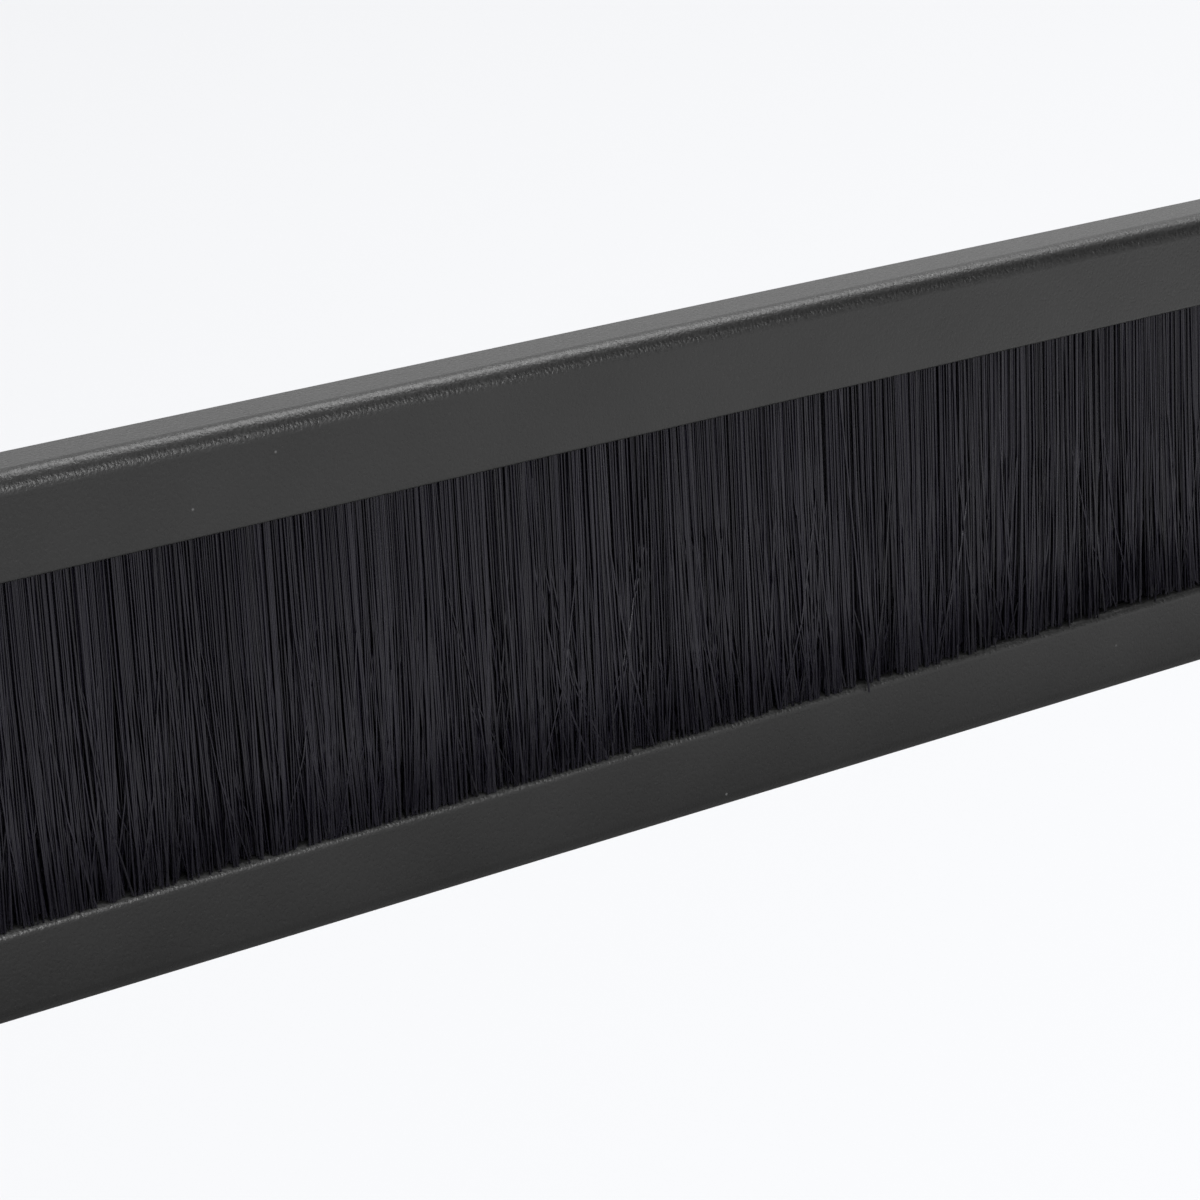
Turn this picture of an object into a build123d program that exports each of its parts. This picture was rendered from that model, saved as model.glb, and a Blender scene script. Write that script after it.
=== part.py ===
"""Rack brush panel: a one-unit 19-inch steel panel whose cable slot is closed by a hanging strip brush.

X runs along the panel, -Y is the front and +Z is up. The origin lies on the rear face of the ears, at the
centre of the four rack slots. Lengths are in millimetres.
"""

from build123d import *
from math import pi, sin, sqrt
import os

os.makedirs("parts", exist_ok=True)

# Folded panel
panel_width = 482.6
panel_height = 43.7
sheet = 1.2
bend_radius = 0.4
return_depth = 5.1
ear_length = 19.3
relief_width = 1.6
relief_margin = 0.5
ear_corner = 2.0

# Cable slot
upper_band = 8.25
lower_band = 8.05
slot_end_margin = 20.0
slot_corner = 1.5
edge_round = 0.3
lip_round = 0.85

# Rack fixing slots
rack_slot_inset = 8.75
rack_pitch_z = 31.75
rack_slot_length = 10.0
rack_slot_width = 6.8

# Strip brush
channel_depth = 4.6
channel_height = 5.0
channel_wall = 0.7
channel_bend = 0.5
channel_overlap = 6.0
crimp_height = 1.8
crimp_inset = 0.45
crimp_bend = 1.0
wire_diameter = 1.4
wire_drop = 0.8
bundle_pitch = 1.25
bundle_tip = 0.8
bundle_depth = 0.95
bundle_row_gap = 0.16
root_drop = 0.4
root_embed = 0.2
tip_overlap = 1.5
tip_ragged = 0.35
tip_ripple = 1.1
sway = 0.9
sway_length = 57.0
splay_angle = 1.3

# End clamps and their fixings
clamp_sheet = 1.2
clamp_bend = 0.4
clamp_height = 9.0
clamp_foot = 11.0
stud_diameter = 4.0
stud_length = 8.0
stud_tip = 0.5
stud_flange_diameter = 5.5
stud_flange_height = 0.8
washer_diameter = 9.0
washer_hole = 4.3
washer_thickness = 0.8
nut_width = 7.0
nut_height = 3.2
nut_crown = 0.25

# Clearances
seat_gap = 0.1
filament_fit = 0.05
clamp_end_gap = 0.3
pad_margin = 0.7
clamp_top_gap = 0.1
stud_hole_gap = 0.15
thread_fit = 0.03

# Derived places
panel_top = panel_height / 2
return_length = panel_width - 2 * ear_length
rack_pitch_x = panel_width - 2 * rack_slot_inset
front_face = -sheet
return_back = front_face + return_depth
outer_bend = bend_radius + sheet
middle_bend = bend_radius + sheet / 2
slot_length = return_length - 2 * slot_end_margin
slot_top = panel_top - upper_band
slot_bottom = lower_band - panel_top
slot_height = slot_top - slot_bottom
brush_length = slot_length + 2 * channel_overlap
channel_top = panel_top - sheet - seat_gap
channel_bottom = channel_top - channel_height
channel_middle = channel_depth / 2
filament_inset = channel_wall + filament_fit
wire_height = channel_top - filament_inset - wire_drop - wire_diameter / 2
root_bottom = channel_bottom - root_drop
clamp_back = channel_depth + clamp_sheet
riser_inside = brush_length / 2 + clamp_end_gap
clamp_pad = channel_overlap + clamp_end_gap - pad_margin
stud_x = riser_inside + clamp_sheet + clamp_foot / 2
clamp_top = panel_top - sheet - bend_radius - clamp_top_gap
stud_z = clamp_top - clamp_height / 2
washer_seat = clamp_sheet
nut_seat = washer_seat + washer_thickness
stud_places = [(-stud_x, stud_z), (stud_x, stud_z)]


def channel_outline(inset, lower_edge):
    """Points of the channel's section at a depth inside its outer skin, from the front lip round to the rear lip."""
    front = inset
    rear = channel_depth - inset
    crimp = channel_bottom + crimp_height
    top = channel_top - inset
    return [
        (front + crimp_inset, lower_edge),
        (front, crimp),
        (front, top),
        (rear, top),
        (rear, crimp),
        (rear - crimp_inset, lower_edge),
    ]


def outline_radii(inset):
    """Radii that go with the corners of channel_outline."""
    top_radius = channel_bend + channel_wall - inset
    return [crimp_bend, top_radius, top_radius, crimp_bend]


def slot_rim(panel):
    """Front edges of the cable slot, from the lowest up."""
    front = panel.faces().filter_by(Axis.Y).group_by(Axis.Y)[0].sort_by(SortBy.AREA)[-1]
    return front.inner_wires().sort_by(SortBy.LENGTH)[-1].edges().sort_by(Axis.Z)


# Front panel: shallow folded tray with flat ears, and a cable slot with a well-rounded lower lip
with BuildPart() as front_panel:
    middle_line = sheet / 2
    with BuildSketch(Plane.YZ.offset(-return_length / 2)):
        with BuildLine():
            FilletPolyline(
                (return_back, panel_top - middle_line),
                (front_face + middle_line, panel_top - middle_line),
                (front_face + middle_line, middle_line - panel_top),
                (return_back, middle_line - panel_top),
                radius=middle_bend,
            )
        trace(line_width=sheet)
    extrude(amount=return_length)

    neck_end = return_length / 2 + relief_width
    ear_width = panel_width / 2 - neck_end
    neck_height = panel_height - 2 * (outer_bend + relief_margin)
    with BuildSketch(Plane.XZ) as ears:
        with GridLocations(panel_width - ear_width, 0, 2, 1):
            Rectangle(ear_width, panel_height)
        fillet(ears.vertices().group_by(Axis.X)[0], radius=ear_corner)
        fillet(ears.vertices().group_by(Axis.X)[-1], radius=ear_corner)
        with GridLocations(return_length + relief_width, 0, 2, 1):
            Rectangle(relief_width, neck_height)
    extrude(amount=sheet)

    with BuildSketch(Plane.XZ) as cuts:
        with Locations((0, (slot_top + slot_bottom) / 2)):
            Rectangle(slot_length, slot_height)
        fillet(cuts.vertices().group_by(Axis.Y)[-1], radius=slot_corner)
        with GridLocations(rack_pitch_x, rack_pitch_z, 2, 2):
            SlotOverall(rack_slot_length, rack_slot_width)
    extrude(amount=sheet, mode=Mode.SUBTRACT)

    fillet(slot_rim(front_panel)[1:], radius=edge_round)
    lip = slot_rim(front_panel).group_by(Axis.Z)[0].sort_by(SortBy.LENGTH)[-1]
    fillet(lip, radius=lip_round)

# Brush channel: steel strip folded over the filaments and crimped at its lips
with BuildPart() as brush_channel:
    with BuildSketch(Plane.YZ.offset(-brush_length / 2)):
        with BuildLine():
            FilletPolyline(
                *channel_outline(channel_wall / 2, channel_bottom),
                radius=outline_radii(channel_wall / 2),
            )
        trace(line_width=channel_wall)
    extrude(amount=brush_length)

# Core wire that the filaments are doubled over
with BuildPart() as core_wire:
    with BuildSketch(Plane.YZ.offset(-brush_length / 2)):
        with Locations((channel_middle, wire_height)):
            Circle(wire_diameter / 2)
    extrude(amount=brush_length)

# Bristles: a doubled root inside the channel and two staggered rows of tapering bundles that hang from it
def bundle_row(offset):
    """Outline of one row of bundles, sideways along the panel and downwards from the root."""
    count = int(brush_length / bundle_pitch) - 1
    start = offset - count * bundle_pitch / 2
    points = [(start, root_embed), (start, -root_embed)]
    for place in range(count):
        x = start + (place + 0.5) * bundle_pitch
        tip_x = x + sway * sin(2 * pi * x / sway_length)
        tip = slot_bottom - tip_overlap - root_bottom + tip_ragged * sin(x * tip_ripple)
        points.append((tip_x - bundle_tip / 2, tip))
        points.append((tip_x + bundle_tip / 2, tip))
        points.append((x + bundle_pitch / 2, -root_embed))
    points.append((points[-1][0], root_embed))
    return points


with BuildPart() as bristles:
    with BuildSketch(Plane.YZ.offset(-brush_length / 2)):
        with BuildLine():
            root = FilletPolyline(
                *channel_outline(filament_inset, channel_bottom),
                radius=outline_radii(filament_inset),
            )
            Polyline(root @ 1, ((root @ 1).X, root_bottom), ((root @ 0).X, root_bottom), root @ 0)
        make_face()
        with Locations((channel_middle, wire_height)):
            Circle(wire_diameter / 2 + filament_fit, mode=Mode.SUBTRACT)
    extrude(amount=brush_length)

    for side in (-1, 1):
        row_inside = channel_middle + side * bundle_row_gap / 2
        hang = Plane((0, row_inside, root_bottom), x_dir=(1, 0, 0), z_dir=(0, -1, 0))
        with BuildSketch(hang.rotated((side * splay_angle, 0, 0))):
            with BuildLine():
                Polyline(*bundle_row(side * bundle_pitch / 4), close=True)
            make_face()
        extrude(amount=-side * bundle_depth)


def end_clamp(side):
    """One folded bracket: a foot on the panel, a riser past the channel's end and a pad on the channel's back."""
    half = clamp_sheet / 2
    with BuildPart() as clamp:
        with BuildSketch(Plane.XY.offset(clamp_top - clamp_height)):
            with BuildLine():
                FilletPolyline(
                    (side * (riser_inside - clamp_pad), clamp_back - half),
                    (side * (riser_inside + half), clamp_back - half),
                    (side * (riser_inside + half), half),
                    (side * (riser_inside + clamp_sheet + clamp_foot), half),
                    radius=clamp_bend + half,
                )
            trace(line_width=clamp_sheet)
        extrude(amount=clamp_height)
        with BuildSketch(Plane.XZ):
            with Locations((side * stud_x, stud_z)):
                Circle(stud_flange_diameter / 2 + stud_hole_gap)
        extrude(amount=-clamp_sheet, mode=Mode.SUBTRACT)
    return clamp


left_clamp = end_clamp(-1)
right_clamp = end_clamp(1)

# Weld studs on the rear face of the panel
with BuildPart() as weld_studs:
    with BuildSketch(Plane.XZ):
        with Locations(*stud_places):
            Circle(stud_flange_diameter / 2)
    extrude(amount=-stud_flange_height)
    with BuildSketch(Plane.XZ):
        with Locations(*stud_places):
            Circle(stud_diameter / 2)
    extrude(amount=-stud_length)
    chamfer(weld_studs.edges().group_by(Axis.Y)[-1], stud_tip)

# Washers on the clamps' feet
with BuildPart() as washers:
    with BuildSketch(Plane.XZ.offset(-washer_seat)):
        with Locations(*stud_places):
            Circle(washer_diameter / 2)
            Circle(washer_hole / 2, mode=Mode.SUBTRACT)
    extrude(amount=-washer_thickness)

# Hexagon nuts, with their corners rounded off at the outer end
with BuildPart() as nut_crowns:
    with BuildSketch(Plane.XZ.offset(-nut_seat)):
        with Locations(*stud_places):
            Circle(nut_width / sqrt(3))
    extrude(amount=-nut_height)
    chamfer(nut_crowns.edges().group_by(Axis.Y)[-1], nut_crown, 2 * nut_crown)

with BuildPart() as hex_nuts:
    with BuildSketch(Plane.XZ.offset(-nut_seat)):
        with Locations(*stud_places):
            RegularPolygon(nut_width / 2, side_count=6, major_radius=False)
            Circle(stud_diameter / 2 + thread_fit, mode=Mode.SUBTRACT)
    extrude(amount=-nut_height)
    add(nut_crowns.part, mode=Mode.INTERSECT)

pieces = {
    "front_panel": front_panel,
    "brush_channel": brush_channel,
    "core_wire": core_wire,
    "bristles": bristles,
    "left_clamp": left_clamp,
    "right_clamp": right_clamp,
    "weld_studs": weld_studs,
    "washers": washers,
    "hex_nuts": hex_nuts,
}
for name, piece in pieces.items():
    piece.part.label = name
    export_step(piece.part, f"parts/{name}.step")
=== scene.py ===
"""Looks of the rack brush panel: powder-coated sheet, galvanised strip and a curtain of nylon filaments.

Everything is in metres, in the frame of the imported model: X along the panel, -Y the front and +Z up.
"""

import math

import bpy
import numpy as np
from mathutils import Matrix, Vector


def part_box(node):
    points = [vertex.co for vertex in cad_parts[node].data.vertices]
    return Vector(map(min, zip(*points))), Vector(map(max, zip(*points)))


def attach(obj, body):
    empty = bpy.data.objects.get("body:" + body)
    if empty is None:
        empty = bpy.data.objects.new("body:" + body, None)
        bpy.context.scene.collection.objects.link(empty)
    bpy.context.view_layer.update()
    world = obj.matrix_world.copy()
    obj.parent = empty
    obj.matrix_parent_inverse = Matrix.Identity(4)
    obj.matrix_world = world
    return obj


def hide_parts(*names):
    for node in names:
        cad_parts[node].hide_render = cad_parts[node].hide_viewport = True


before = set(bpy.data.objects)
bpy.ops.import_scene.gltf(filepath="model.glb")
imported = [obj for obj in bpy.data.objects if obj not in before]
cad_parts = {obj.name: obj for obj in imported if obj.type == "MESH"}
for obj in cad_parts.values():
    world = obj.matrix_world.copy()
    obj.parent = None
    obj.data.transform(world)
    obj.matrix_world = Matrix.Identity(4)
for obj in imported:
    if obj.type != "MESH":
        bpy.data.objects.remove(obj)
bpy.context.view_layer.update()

for leftover in ("Cube", "Light", "Camera"):
    if leftover in bpy.data.objects:
        bpy.data.objects.remove(bpy.data.objects[leftover])

MM = 0.001
SEED = 19
scene = bpy.context.scene
rng = np.random.default_rng(SEED)

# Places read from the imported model
panel_low, panel_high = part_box("front_panel")
channel_low, channel_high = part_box("brush_channel")
wire_low, wire_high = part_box("core_wire")
stud_low, stud_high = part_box("weld_studs")
curtain_y = (wire_low[1] + wire_high[1]) / 2
wire_z = (wire_low[2] + wire_high[2]) / 2
wire_radius = (wire_high[2] - wire_low[2]) / 2
LOWER_BAND = 8.05 * MM
lip_top = panel_low[2] + LOWER_BAND


def direction(azimuth, elevation):
    """Unit vector towards a place seen from the part; azimuth 0 is straight in front and +90 is along +X."""
    turn = math.radians(azimuth)
    rise = math.radians(elevation)
    return Vector((math.sin(turn) * math.cos(rise), -math.cos(turn) * math.cos(rise), math.sin(rise)))


# Camera, fitted to the four long edges in the photograph
CAMERA_AZIMUTH = -37.43
CAMERA_ELEVATION = 19.88
CAMERA_DISTANCE = 329.4 * MM
CAMERA_LENS = 120.0
CAMERA_SENSOR = 36.0
CAMERA_TARGET = Vector((0.0, 0.0, -0.20 * MM))


def add_camera():
    """Camera at the photograph's angle."""
    back = direction(CAMERA_AZIMUTH, CAMERA_ELEVATION)
    data = bpy.data.cameras.new("photo_camera")
    data.lens = CAMERA_LENS
    data.sensor_width = CAMERA_SENSOR
    camera = bpy.data.objects.new("photo_camera", data)
    camera.location = CAMERA_TARGET + back * CAMERA_DISTANCE
    camera.rotation_euler = back.to_track_quat("Z", "Y").to_euler()
    scene.collection.objects.link(camera)
    scene.camera = camera


add_camera()


# Materials

MIX_COLOUR_INPUTS = (6, 7)
MIX_COLOUR_OUTPUT = 2


def new_material(name, colour, metallic=0.0):
    """Material with a Principled shader, and the object coordinates that its textures use."""
    material = bpy.data.materials.new(name)
    material.use_nodes = True
    shader = material.node_tree.nodes["Principled BSDF"]
    shader.inputs["Base Color"].default_value = (*colour, 1.0)
    shader.inputs["Metallic"].default_value = metallic
    place = material.node_tree.nodes.new("ShaderNodeTexCoord").outputs["Object"]
    return material, shader, place


def noise(material, place, size, detail=2.0, stretch=(1.0, 1.0, 1.0)):
    """Noise whose features are about `size` metres across, drawn out along an axis by `stretch`."""
    tree = material.node_tree
    mapping = tree.nodes.new("ShaderNodeMapping")
    mapping.inputs["Scale"].default_value = [1.0 / (size * factor) for factor in stretch]
    texture = tree.nodes.new("ShaderNodeTexNoise")
    texture.inputs["Scale"].default_value = 1.0
    texture.inputs["Detail"].default_value = detail
    tree.links.new(place, mapping.inputs["Vector"])
    tree.links.new(mapping.outputs["Vector"], texture.inputs["Vector"])
    return texture.outputs["Fac"]


def spread(material, value, low, high, start=0.3, end=0.7):
    """Map a texture value between start and end to the range low to high."""
    node = material.node_tree.nodes.new("ShaderNodeMapRange")
    node.inputs["From Min"].default_value = start
    node.inputs["From Max"].default_value = end
    node.inputs["To Min"].default_value = low
    node.inputs["To Max"].default_value = high
    material.node_tree.links.new(value, node.inputs["Value"])
    return node.outputs["Result"]


def mix_colours(material, factor, first, second):
    """Blend of two colours by a texture value; a colour is three numbers or another node's output."""
    tree = material.node_tree
    node = tree.nodes.new("ShaderNodeMix")
    node.data_type = "RGBA"
    tree.links.new(factor, node.inputs["Factor"])
    for number, colour in zip(MIX_COLOUR_INPUTS, (first, second)):
        if isinstance(colour, tuple):
            node.inputs[number].default_value = (*colour, 1.0)
        else:
            tree.links.new(colour, node.inputs[number])
    return node.outputs[MIX_COLOUR_OUTPUT]


def bump(material, shader, height, depth, strength=1.0):
    """Bump the shader's normal, on top of a bump that is already there; depth is in metres."""
    tree = material.node_tree
    node = tree.nodes.new("ShaderNodeBump")
    node.inputs["Strength"].default_value = strength
    node.inputs["Distance"].default_value = depth
    tree.links.new(height, node.inputs["Height"])
    if shader.inputs["Normal"].is_linked:
        tree.links.new(shader.inputs["Normal"].links[0].from_socket, node.inputs["Normal"])
    tree.links.new(node.outputs["Normal"], shader.inputs["Normal"])


def link(material, value, socket):
    """Feed a node's output to another node's input."""
    material.node_tree.links.new(value, socket)


COAT_DARK = (0.0065, 0.0065, 0.0065)
COAT_LIGHT = (0.0095, 0.0095, 0.0095)
COAT_SPECK = (0.075, 0.075, 0.075)
COAT_ROUGHNESS = (0.26, 0.36)
COAT_GRAIN = 0.26 * MM
COAT_GRAIN_DEPTH = 0.042 * MM
COAT_PEEL = 1.1 * MM
COAT_PEEL_DEPTH = 0.02 * MM
COAT_CLOUD = 14.0 * MM
DUST_SPACING = 5.0 * MM
DUST_INNER = 0.075 * MM
DUST_OUTER = 0.15 * MM


def powder_coat():
    """Fine-textured black powder coat with a few specks of dust."""
    material, shader, place = new_material("black_powder_coat", COAT_DARK)
    grain = noise(material, place, COAT_GRAIN, detail=3.0)
    peel = noise(material, place, COAT_PEEL, detail=1.0)
    cloud = noise(material, place, COAT_CLOUD)
    base = mix_colours(material, spread(material, cloud, 0.0, 1.0), COAT_DARK, COAT_LIGHT)

    dust = material.node_tree.nodes.new("ShaderNodeTexVoronoi")
    dust.inputs["Scale"].default_value = 1.0 / DUST_SPACING
    link(material, place, dust.inputs["Vector"])
    inner = DUST_INNER / DUST_SPACING
    outer = DUST_OUTER / DUST_SPACING
    speck = spread(material, dust.outputs["Distance"], 1.0, 0.0, inner, outer)
    link(material, mix_colours(material, speck, base, COAT_SPECK), shader.inputs["Base Color"])

    link(material, spread(material, grain, *COAT_ROUGHNESS), shader.inputs["Roughness"])
    bump(material, shader, peel, COAT_PEEL_DEPTH, strength=0.5)
    bump(material, shader, grain, COAT_GRAIN_DEPTH)
    return material


NYLON_DARK = (0.0032, 0.0027, 0.0056)
NYLON_LIGHT = (0.0096, 0.0086, 0.0141)
NYLON_ROUGHNESS = (0.22, 0.36)
NYLON_IOR = 1.48
NYLON_STREAK = 0.05 * MM
NYLON_STRETCH = (1.0, 1.0, 40.0)


def nylon():
    """Black nylon filament; each one has its own shade."""
    material, shader, place = new_material("black_nylon", NYLON_DARK)
    island = material.node_tree.nodes.new("ShaderNodeNewGeometry").outputs["Random Per Island"]
    link(material, mix_colours(material, island, NYLON_DARK, NYLON_LIGHT), shader.inputs["Base Color"])
    shader.inputs["IOR"].default_value = NYLON_IOR
    streak = noise(material, place, NYLON_STREAK, detail=1.0, stretch=NYLON_STRETCH)
    link(material, spread(material, streak, *NYLON_ROUGHNESS), shader.inputs["Roughness"])
    return material


ZINC_DARK = (0.42, 0.43, 0.44)
ZINC_LIGHT = (0.62, 0.63, 0.64)
ZINC_ROUGHNESS = (0.28, 0.46)
ZINC_SPANGLE = 3.0 * MM
ZINC_LINES = 0.12 * MM
ZINC_LINES_DEPTH = 0.006 * MM
ZINC_STRETCH = (120.0, 1.0, 1.0)


def galvanised():
    """Galvanised strip with a faint spangle and drawing lines along the panel."""
    material, shader, place = new_material("galvanised_strip", ZINC_LIGHT, metallic=1.0)
    spangle = noise(material, place, ZINC_SPANGLE, detail=3.0)
    lines = noise(material, place, ZINC_LINES, stretch=ZINC_STRETCH)
    colour = mix_colours(material, spread(material, spangle, 0.0, 1.0), ZINC_DARK, ZINC_LIGHT)
    link(material, colour, shader.inputs["Base Color"])
    link(material, spread(material, lines, *ZINC_ROUGHNESS), shader.inputs["Roughness"])
    bump(material, shader, lines, ZINC_LINES_DEPTH, strength=0.5)
    return material


WIRE_DARK = (0.30, 0.30, 0.30)
WIRE_LIGHT = (0.46, 0.46, 0.45)
WIRE_ROUGHNESS = (0.22, 0.40)
WIRE_LINES = 0.08 * MM
WIRE_LINES_DEPTH = 0.004 * MM
WIRE_STRETCH = (200.0, 1.0, 1.0)


def drawn_wire():
    """Drawn steel wire with fine lines along its length."""
    material, shader, place = new_material("drawn_wire", WIRE_LIGHT, metallic=1.0)
    lines = noise(material, place, WIRE_LINES, stretch=WIRE_STRETCH)
    link(material, mix_colours(material, lines, WIRE_DARK, WIRE_LIGHT), shader.inputs["Base Color"])
    link(material, spread(material, lines, *WIRE_ROUGHNESS), shader.inputs["Roughness"])
    bump(material, shader, lines, WIRE_LINES_DEPTH, strength=0.5)
    return material


PLATED_DARK = (0.50, 0.51, 0.53)
PLATED_LIGHT = (0.70, 0.71, 0.73)
PLATED_ROUGHNESS = (0.22, 0.36)
PLATED_HAZE = 1.6 * MM
PLATED_GRAIN = 0.15 * MM
PLATED_GRAIN_DEPTH = 0.004 * MM


def zinc_plated():
    """Bright zinc plating with a slight haze."""
    material, shader, place = new_material("zinc_plating", PLATED_LIGHT, metallic=1.0)
    haze = noise(material, place, PLATED_HAZE, detail=3.0)
    grain = noise(material, place, PLATED_GRAIN)
    colour = mix_colours(material, spread(material, haze, 0.0, 1.0), PLATED_DARK, PLATED_LIGHT)
    link(material, colour, shader.inputs["Base Color"])
    link(material, spread(material, haze, *PLATED_ROUGHNESS), shader.inputs["Roughness"])
    bump(material, shader, grain, PLATED_GRAIN_DEPTH, strength=0.4)
    return material


coat = powder_coat()
plating = zinc_plated()
filament_material = nylon()
finishes = {
    "front_panel": coat,
    "left_clamp": coat,
    "right_clamp": coat,
    "brush_channel": galvanised(),
    "core_wire": drawn_wire(),
    "washers": plating,
    "hex_nuts": plating,
}
for node_name, finish in finishes.items():
    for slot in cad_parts[node_name].material_slots:
        slot.material = finish


# Filaments, doubled over the core wire and hanging through the crimped lips

# Number and thickness
FILAMENT_COUNT = 15000
FILAMENT_PIECES = 6
FILAMENT_RADIUS = 0.1 * MM
FILAMENT_SIDES = 3
END_MARGIN = 0.3 * MM

# Fold over the wire, and places between the crimped lips
FOLD_INNER = wire_radius + 0.17 * MM
FOLD_OUTER = wire_radius + 0.70 * MM
FOLD_ANGLES = np.radians([180.0, 90.0, 0.0])
CRIMP_INNER = 0.08 * MM
CRIMP_OUTER = 1.0 * MM

# Lean of the legs along the panel, and their swing across it
LEG_STEPS = np.array([0.0, 0.4, 0.75, 1.0])
LEAN_CURVE = 2.6
LEAN = 0.6 * MM
STRAY_SHARE = 0.15
STRAY_LEAN = 2.4 * MM
SWAY = 0.5 * MM
SWAY_LENGTH = 57.0 * MM
SPLAY = 0.6
SPLAY_NOISE = 0.18 * MM
FRONT_SWING = 1.8 * MM
REAR_SWING = -1.6 * MM

# Loose locks that the tips gather into
LOCK_WIDTH = (0.8 * MM, 3.0 * MM)
LOCK_PULL = (0.2, 0.7)
LOCK_DEPTH = 0.15 * MM
LOCK_LEAN = 0.3 * MM
FRONT_GATHER = 1.0
REAR_GATHER = 0.18

# Trim of the tips, on and behind the slot's rounded lower lip
PANEL_GAP = 0.15 * MM
LIP_ROUND = 0.85 * MM
REST_GAP = 0.13 * MM
FRONT_OVERLAP = -0.15 * MM
REAR_OVERLAP = 2.1 * MM
WORN_LENGTH = 260.0 * MM
WORN_START = 20.0 * MM
WORN_TRIM = 0.5 * MM
WORN_SWING = 0.2 * MM
TRIM_NOISE = 0.22 * MM
SHORT_SHARE = 0.15
SHORT_BY = 1.2 * MM

# One filament that has sprung forward
LOOSE_X = 26.3 * MM
LOOSE_LEAN = 2.2 * MM
LOOSE_TIP_Y = -1.45 * MM
LOOSE_DROP = 0.8 * MM


def lock_pull(x):
    """Sideways and depthways pull at the tips, towards the loose lock that each filament falls into."""
    edges = [channel_low[0] - LOCK_WIDTH[1]]
    while edges[-1] < channel_high[0] + LOCK_WIDTH[1]:
        edges.append(edges[-1] + rng.uniform(*LOCK_WIDTH))
    edges = np.array(edges)
    lock = np.searchsorted(edges, x)
    middle = (edges[lock - 1] + edges[lock]) / 2
    strength = rng.uniform(*LOCK_PULL, len(edges))[lock]
    lean = rng.normal(0.0, LOCK_LEAN, len(edges))[lock]
    depth = rng.normal(0.0, LOCK_DEPTH, len(edges))[lock]
    return (middle - x) * strength + lean, depth


def lip_surface(y):
    """Height of the slot's rounded lower lip at a depth within the sheet."""
    inside = np.clip(panel_low[1] + LIP_ROUND - y, 0.0, LIP_ROUND)
    return lip_top - LIP_ROUND + np.sqrt(LIP_ROUND ** 2 - inside ** 2)


def worn(x):
    """How far the curtain has worn back at a place along the panel, from 0 to 1."""
    return np.maximum(np.sin(2 * np.pi * (x - WORN_START) / WORN_LENGTH), 0.0)


def hanging_leg(x, crimp, side, swing, overlap, gather):
    """Points of one leg of each filament, from the crimped lips down to its tip.

    A tip rests on the slot's lower lip or hangs behind it.
    """
    count = len(x)
    pull, depth = lock_pull(x)
    stray = rng.random(count) < STRAY_SHARE
    lean = np.where(stray, rng.normal(0.0, STRAY_LEAN, count), rng.normal(0.0, LEAN, count))
    lean = gather * (lean + pull) + SWAY * np.sin(2 * np.pi * x / SWAY_LENGTH)
    root_y = curtain_y + side * crimp
    tip_y = root_y + side * (crimp * SPLAY + swing) + depth + rng.normal(0.0, SPLAY_NOISE, count)
    tip_y = np.maximum(tip_y, panel_low[1] + PANEL_GAP)

    short = (rng.random(count) < SHORT_SHARE) * rng.uniform(0.0, SHORT_BY, count)
    trim = WORN_TRIM * worn(x) + short + rng.normal(0.0, TRIM_NOISE, count)
    resting = lip_surface(tip_y) + np.maximum(trim, REST_GAP)
    tip_z = np.where(tip_y > PANEL_GAP, lip_top - overlap + trim, resting)

    steps = LEG_STEPS[None, :]
    points = np.empty((count, len(LEG_STEPS), 3))
    points[:, :, 0] = x[:, None] + lean[:, None] * steps ** LEAN_CURVE
    points[:, :, 1] = root_y[:, None] + (tip_y - root_y)[:, None] * steps
    points[:, :, 2] = channel_low[2] + (tip_z[:, None] - channel_low[2]) * steps
    return points


def loose_leg(top):
    """One filament that has sprung forward over the slot's lower lip."""
    tip = np.array([top[0] + LOOSE_LEAN, LOOSE_TIP_Y, lip_top - LOOSE_DROP])
    return top + (tip - top) * LEG_STEPS[:, None]


def filament_paths():
    """Points along every filament, from its front tip up over the core wire and down to its rear tip."""
    start = channel_low[0] + END_MARGIN
    share = (np.arange(FILAMENT_COUNT) + rng.random(FILAMENT_COUNT)) / FILAMENT_COUNT
    x = start + share * (channel_high[0] - END_MARGIN - start)
    layer = rng.random(FILAMENT_COUNT)
    radius = FOLD_INNER + (FOLD_OUTER - FOLD_INNER) * layer
    crimp = CRIMP_INNER + (CRIMP_OUTER - CRIMP_INNER) * layer
    fold = np.empty((FILAMENT_COUNT, len(FOLD_ANGLES), 3))
    fold[:, :, 0] = x[:, None]
    fold[:, :, 1] = curtain_y + radius[:, None] * np.cos(FOLD_ANGLES)
    fold[:, :, 2] = wire_z + radius[:, None] * np.sin(FOLD_ANGLES)
    front_swing = FRONT_SWING - WORN_SWING * worn(x)
    front = hanging_leg(x, crimp, -1, front_swing, FRONT_OVERLAP, FRONT_GATHER)
    rear = hanging_leg(x, crimp, 1, REAR_SWING, REAR_OVERLAP, REAR_GATHER)
    loose = np.abs(x - LOOSE_X).argmin()
    front[loose] = loose_leg(front[loose, 0])
    return np.concatenate([front[:, ::-1], fold, rear], axis=1)


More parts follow.
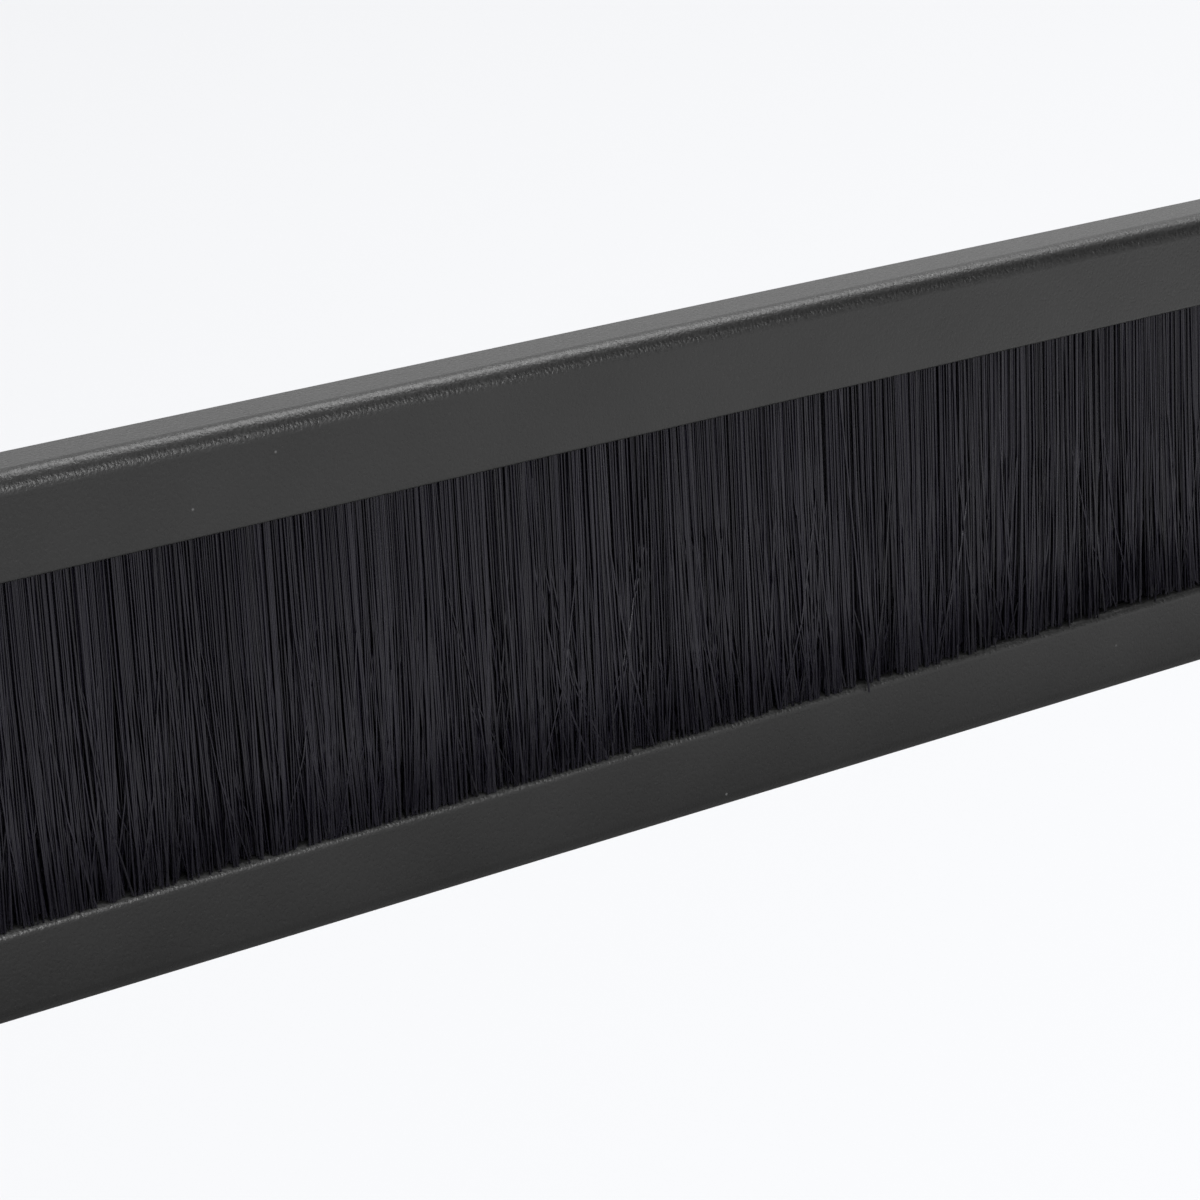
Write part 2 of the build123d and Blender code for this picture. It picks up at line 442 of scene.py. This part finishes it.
def tube_mesh(name, paths, radius, sides):
    """One mesh of closed tubes along many paths with the same number of points."""
    count, points, _ = paths.shape
    tangent = np.gradient(paths, axis=1)
    tangent /= np.linalg.norm(tangent, axis=2, keepdims=True)
    along_panel = np.array([1.0, 0.0, 0.0])
    across = along_panel - tangent[:, :, :1] * tangent
    across /= np.linalg.norm(across, axis=2, keepdims=True)
    inward = np.cross(tangent, across)
    turn = rng.uniform(0.0, 2 * np.pi, count)[:, None] + np.arange(sides) * 2 * np.pi / sides
    cosine = np.cos(turn)[:, None, :, None]
    sine = np.sin(turn)[:, None, :, None]
    ring = cosine * across[:, :, None, :] + sine * inward[:, :, None, :]
    vertices = (paths[:, :, None, :] + radius * ring).reshape(-1, 3)

    index = np.arange(count * points * sides).reshape(count, points, sides)
    following = np.roll(index, -1, axis=2)
    corners = [index[:, :-1], following[:, :-1], following[:, 1:], index[:, 1:]]
    walls = np.stack(corners, axis=-1).reshape(-1, 4)
    faces = walls.tolist() + index[:, 0, ::-1].tolist() + index[:, -1].tolist()
    mesh = bpy.data.meshes.new(name)
    mesh.from_pydata(vertices.tolist(), [], faces)
    smooth = np.arange(len(faces)) < len(walls)
    mesh.polygons.foreach_set("use_smooth", smooth)
    return mesh


def add_piece(name, mesh, material, replaced):
    """Place a mesh as a piece of the part that stands for a solid."""
    mesh.materials.append(material)
    piece = bpy.data.objects.new(name, mesh)
    scene.collection.objects.link(piece)
    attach(piece, "root")
    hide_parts(replaced)


def add_filaments():
    """The whole curtain, split into pieces along the panel."""
    paths = filament_paths()
    for number, group in enumerate(np.array_split(paths, FILAMENT_PIECES), start=1):
        name = f"filaments_{number}"
        mesh = tube_mesh(name, group, FILAMENT_RADIUS, FILAMENT_SIDES)
        add_piece(name, mesh, filament_material, "bristles")


add_filaments()


# Weld studs with their thread

STUD_FLANGE_RADIUS = 2.75 * MM
STUD_FLANGE_HEIGHT = 0.8 * MM
STUD_FLANGE_ROUND = 0.15 * MM
STUD_RADIUS = 2.0 * MM
STUD_TIP = 0.5 * MM
THREAD_PITCH = 0.7 * MM
THREAD_DEPTH = 0.38 * MM
THREAD_START = 1.1 * MM
THREAD_ROWS = 8
THREAD_SIDES = 40


def stud_rings():
    """Height, radius and share of the thread of each ring of one stud, from the weld face to the tip."""
    plain = 0.0
    threaded = 1.0
    rings = [
        (0.0, 0.0, plain),
        (0.0, STUD_FLANGE_RADIUS, plain),
        (STUD_FLANGE_HEIGHT - STUD_FLANGE_ROUND, STUD_FLANGE_RADIUS, plain),
        (STUD_FLANGE_HEIGHT, STUD_FLANGE_RADIUS - STUD_FLANGE_ROUND, plain),
        (STUD_FLANGE_HEIGHT, STUD_RADIUS, plain),
    ]
    top = stud_high[1] - stud_low[1]
    step = THREAD_PITCH / THREAD_ROWS
    for height in np.arange(THREAD_START, top - STUD_TIP, step):
        rings.append((height, STUD_RADIUS, threaded))
    rings.append((top - STUD_TIP, STUD_RADIUS, threaded))
    rings.append((top, STUD_RADIUS - STUD_TIP, plain))
    rings.append((top, 0.0, plain))
    return np.array(rings)


def stud_mesh():
    """Both studs: turned flange, helical thread and chamfered tip."""
    rings = stud_rings()
    angle = np.arange(THREAD_SIDES) * 2 * np.pi / THREAD_SIDES
    turns = rings[:, :1] / THREAD_PITCH - angle / (2 * np.pi)
    groove = np.abs(2 * (turns % 1.0) - 1.0) * THREAD_DEPTH * rings[:, 2:]
    radius = np.maximum(rings[:, 1:2] - groove, 0.0)
    vertices = []
    faces = []
    for centre_x in (stud_low[0] + STUD_FLANGE_RADIUS, stud_high[0] - STUD_FLANGE_RADIUS):
        start = len(vertices)
        x = centre_x + radius * np.cos(angle)
        y = stud_low[1] + np.broadcast_to(rings[:, :1], x.shape)
        z = (stud_low[2] + stud_high[2]) / 2 + radius * np.sin(angle)
        vertices += np.stack([x, y, z], axis=-1).reshape(-1, 3).tolist()
        index = start + np.arange(x.size).reshape(x.shape)
        following = np.roll(index, -1, axis=1)
        corners = [index[:-1], index[1:], following[1:], following[:-1]]
        faces += np.stack(corners, axis=-1).reshape(-1, 4).tolist()
    mesh = bpy.data.meshes.new("threaded_studs")
    mesh.from_pydata(vertices, [], faces)
    return mesh


add_piece("threaded_studs", stud_mesh(), plating, "weld_studs")


# Studio: pale floor far below, a table with painted light and shade that only reflections see, a white
# surround and two soft boxes

FLOOR_DROP = 0.35
FLOOR_SIZE = 40.0
FLOOR_COLOUR = (0.757, 0.763, 0.778)

# Table with painted light and shade, with the places along the panel and the distances from it where the
# painted shade changes
TABLE_DROP = 1.0 * MM
TABLE_SIZE = 3.0
TABLE_LEFT_PAINTED_SHADE = (0.1, 0.1, 0.1)
TABLE_MIDDLE = (0.57, 0.57, 0.57)
TABLE_RIGHT_PAINTED_LIGHT = (0.80, 0.80, 0.80)
TABLE_FAR_PAINTED_SHADE = (0.2, 0.2, 0.2)
TABLE_PAINTED_CONTACT_SHADOW = (0.35, 0.35, 0.35)
TABLE_LEFT_SHADE_END = -0.20
TABLE_MIDDLE_START = -0.06
TABLE_MIDDLE_END = 0.02
TABLE_PAINTED_LIGHT_START = 0.13
TABLE_FAR_SHADE_START = 0.15
TABLE_FAR_SHADE_END = 0.42
TABLE_CONTACT_SHADOW_FULL = 2.0 * MM
TABLE_CONTACT_SHADOW_REACH = 16.0 * MM

# Surround and soft boxes, with angles in degrees
SURROUND_STRENGTH = 0.88
SURROUND_FOOT = -5.0
DIM_AZIMUTH = 58.0
DIM_ELEVATION = 20.0
DIM_INNER = 12.0
DIM_OUTER = 33.0
DIM_STRENGTH = 0.04
BOX_DISTANCE = 6.0
FRONT_BOX = dict(azimuth=0.0, elevation=20.0, half_width=22.0, half_height=8.0, radiance=10.8)
REAR_BOX = dict(azimuth=108.0, elevation=57.0, half_width=14.0, half_height=8.0, radiance=6.0)


def add_ground(name, drop, size, colour):
    """Matt horizontal plane below the part."""
    bpy.ops.mesh.primitive_plane_add(size=size, location=(0.0, 0.0, panel_low[2] - drop))
    ground = bpy.context.object
    ground.name = name
    material, shader, _ = new_material(name, colour)
    shader.inputs["Roughness"].default_value = 1.0
    shader.inputs["Specular IOR Level"].default_value = 0.0
    ground.data.materials.append(material)
    return ground


def add_table():
    """White table top right under the panel, which shows only in reflections.

    Its colour is painted light and shade: brightest right of the middle, darker on the left and further
    right, and a painted contact shadow close to the panel.
    """
    table = add_ground("table", TABLE_DROP, TABLE_SIZE, TABLE_RIGHT_PAINTED_LIGHT)
    material = table.data.materials[0]
    tree = material.node_tree
    place = tree.nodes["Texture Coordinate"].outputs["Object"]
    axes = tree.nodes.new("ShaderNodeSeparateXYZ")
    link(material, place, axes.inputs["Vector"])
    depth = tree.nodes.new("ShaderNodeMath")
    depth.operation = "ABSOLUTE"
    link(material, axes.outputs["Y"], depth.inputs[0])
    # Painted light and shade on the table: a painted pool of light right of the middle, painted shade to the
    # left and painted shade further right
    right = spread(material, axes.outputs["X"], 0.0, 1.0, TABLE_MIDDLE_END, TABLE_PAINTED_LIGHT_START)
    left = spread(material, axes.outputs["X"], 1.0, 0.0, TABLE_LEFT_SHADE_END, TABLE_MIDDLE_START)
    far = spread(material, axes.outputs["X"], 0.0, 1.0, TABLE_FAR_SHADE_START, TABLE_FAR_SHADE_END)
    # Painted contact shadow: the table is darker close to the panel, where the panel's shade falls
    painted_contact_shadow = spread(material, depth.outputs["Value"], 1.0, 0.0, TABLE_CONTACT_SHADOW_FULL, TABLE_CONTACT_SHADOW_REACH)
    colour = mix_colours(material, right, TABLE_MIDDLE, TABLE_RIGHT_PAINTED_LIGHT)
    for share, shade in ((left, TABLE_LEFT_PAINTED_SHADE), (far, TABLE_FAR_PAINTED_SHADE), (painted_contact_shadow, TABLE_PAINTED_CONTACT_SHADOW)):
        colour = mix_colours(material, share, colour, shade)
    link(material, colour, tree.nodes["Principled BSDF"].inputs["Base Color"])
    table.visible_camera = False
    table.visible_diffuse = False
    table.visible_shadow = False


def add_surround():
    """White surround that ends a little below the horizon, with one dimmer patch on the right."""
    world = bpy.data.worlds.new("white_surround")
    world.use_nodes = True
    tree = world.node_tree
    towards = tree.nodes.new("ShaderNodeVectorMath")
    towards.operation = "DOT_PRODUCT"
    towards.inputs[1].default_value = direction(DIM_AZIMUTH, DIM_ELEVATION)
    strength = tree.nodes.new("ShaderNodeMapRange")
    strength.interpolation_type = "SMOOTHSTEP"
    strength.inputs["From Min"].default_value = math.cos(math.radians(DIM_OUTER))
    strength.inputs["From Max"].default_value = math.cos(math.radians(DIM_INNER))
    strength.inputs["To Min"].default_value = SURROUND_STRENGTH
    strength.inputs["To Max"].default_value = DIM_STRENGTH
    seen = tree.nodes.new("ShaderNodeTexCoord")
    axes = tree.nodes.new("ShaderNodeSeparateXYZ")
    above = tree.nodes.new("ShaderNodeMath")
    above.operation = "GREATER_THAN"
    above.inputs[1].default_value = math.sin(math.radians(SURROUND_FOOT))
    shown = tree.nodes.new("ShaderNodeMath")
    shown.operation = "MULTIPLY"
    tree.links.new(seen.outputs["Generated"], towards.inputs[0])
    tree.links.new(seen.outputs["Generated"], axes.inputs["Vector"])
    tree.links.new(axes.outputs["Z"], above.inputs[0])
    tree.links.new(towards.outputs["Value"], strength.inputs["Value"])
    tree.links.new(strength.outputs["Result"], shown.inputs[0])
    tree.links.new(above.outputs["Value"], shown.inputs[1])
    background = tree.nodes["Background"]
    background.inputs["Color"].default_value = (1.0, 1.0, 1.0, 1.0)
    tree.links.new(shown.outputs["Value"], background.inputs["Strength"])
    scene.world = world


def add_soft_box(name, azimuth, elevation, half_width, half_height, radiance):
    """Rectangular soft light that faces the panel; its half sizes are angles, and radiance 1 is white."""
    width = 2 * BOX_DISTANCE * math.tan(math.radians(half_width))
    height = 2 * BOX_DISTANCE * math.tan(math.radians(half_height))
    data = bpy.data.lights.new(name, "AREA")
    data.shape = "RECTANGLE"
    data.size = width
    data.size_y = height
    data.energy = radiance * math.pi * width * height
    back = direction(azimuth, elevation)
    light = bpy.data.objects.new(name, data)
    light.location = back * BOX_DISTANCE
    light.rotation_euler = back.to_track_quat("Z", "Y").to_euler()
    scene.collection.objects.link(light)


add_ground("floor", FLOOR_DROP, FLOOR_SIZE, FLOOR_COLOUR)
add_table()
add_surround()
add_soft_box("front_soft_box", **FRONT_BOX)
add_soft_box("rear_soft_box", **REAR_BOX)

scene.view_settings.view_transform = "Standard"
